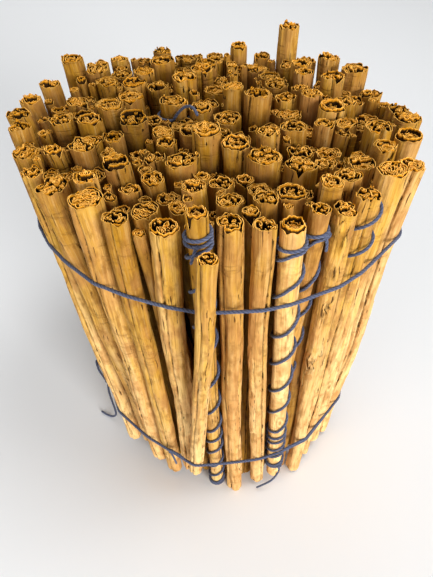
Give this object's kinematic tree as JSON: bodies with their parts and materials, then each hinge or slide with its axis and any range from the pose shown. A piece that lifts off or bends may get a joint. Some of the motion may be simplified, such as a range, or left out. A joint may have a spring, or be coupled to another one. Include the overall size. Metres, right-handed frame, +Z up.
{
  "type": "bundle of cinnamon sticks",
  "caption": "Standing sheaf of rolled cinnamon quills that splays towards the top, tied with two bands of twine, some quills wound with twine of their own",
  "frame": {"origin": "on the floor, under the middle of the sheaf without the free ends of its band", "axes": "+Z up along the quills, -Y towards the front, where the wound quills are"},
  "size_m": [0.2684, 0.2814, 0.3274],
  "materials": {
    "bark": "dry rolled inner bark, matt, golden ochre with darker cracks and streaks",
    "twine": "twisted slate-blue twine, matt"
  },
  "bodies": {
    "root": {"cinnamon_sticks": "bark", "leaning_stick": "bark", "wrapped_stick_a": "bark", "wrapped_stick_b": "bark", "wrapped_stick_c": "bark", "wrapped_stick_d": "bark", "twine_wrap_a": "twine", "twine_wrap_b": "twine", "twine_wrap_c": "twine", "twine_wrap_d": "twine", "inner_twine_1": "twine", "inner_twine_2": "twine", "upper_band": "twine", "lower_band": "twine", "band_bow": "twine", "band_tail": "twine"}
  },
  "joints": []
}
